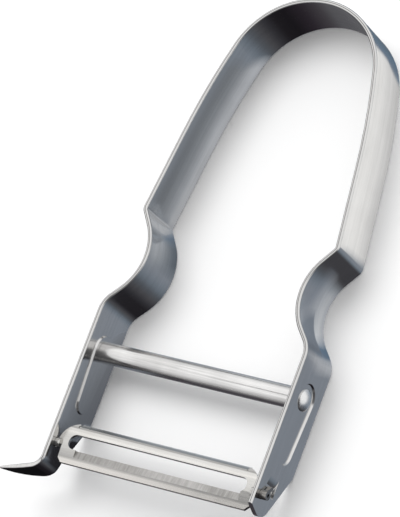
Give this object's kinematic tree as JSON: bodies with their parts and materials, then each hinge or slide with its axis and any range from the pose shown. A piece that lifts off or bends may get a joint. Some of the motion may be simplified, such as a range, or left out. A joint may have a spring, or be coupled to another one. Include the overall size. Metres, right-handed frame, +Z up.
{
  "type": "vegetable peeler",
  "caption": "All-steel bow peeler with finger grips, a spacer bar, a slotted swivel blade and an eye-cutting tongue.",
  "frame": {"origin": "middle of the strip's lower edge at the crown of the bow, on the face that the peeler lies on", "axes": "+X across the arms towards the right arm, +Y along the handle from the blade to the crown, +Z up through the strip's width"},
  "size_m": [0.0722, 0.1355, 0.015],
  "materials": {
    "polished_strip": "polished stainless strip with fine long grain",
    "polished_tube": "drawn and polished stainless tube",
    "polished_rivet": "polished stainless rivet",
    "ground_blade": "satin blade steel with a ground bevel"
  },
  "bodies": {
    "frame": {"bow": "polished_strip", "spacer_tube": "polished_tube", "through_rivet": "polished_rivet"},
    "blade": {"blade": "ground_blade"}
  },
  "joints": [
    {"name": "blade_swivel", "type": "hinge", "parent": "frame", "child": "blade", "pos_m": [0, -0.12439, 0.0122], "axis": [1, 0, 0], "range_deg": [-20, 20]}
  ]
}
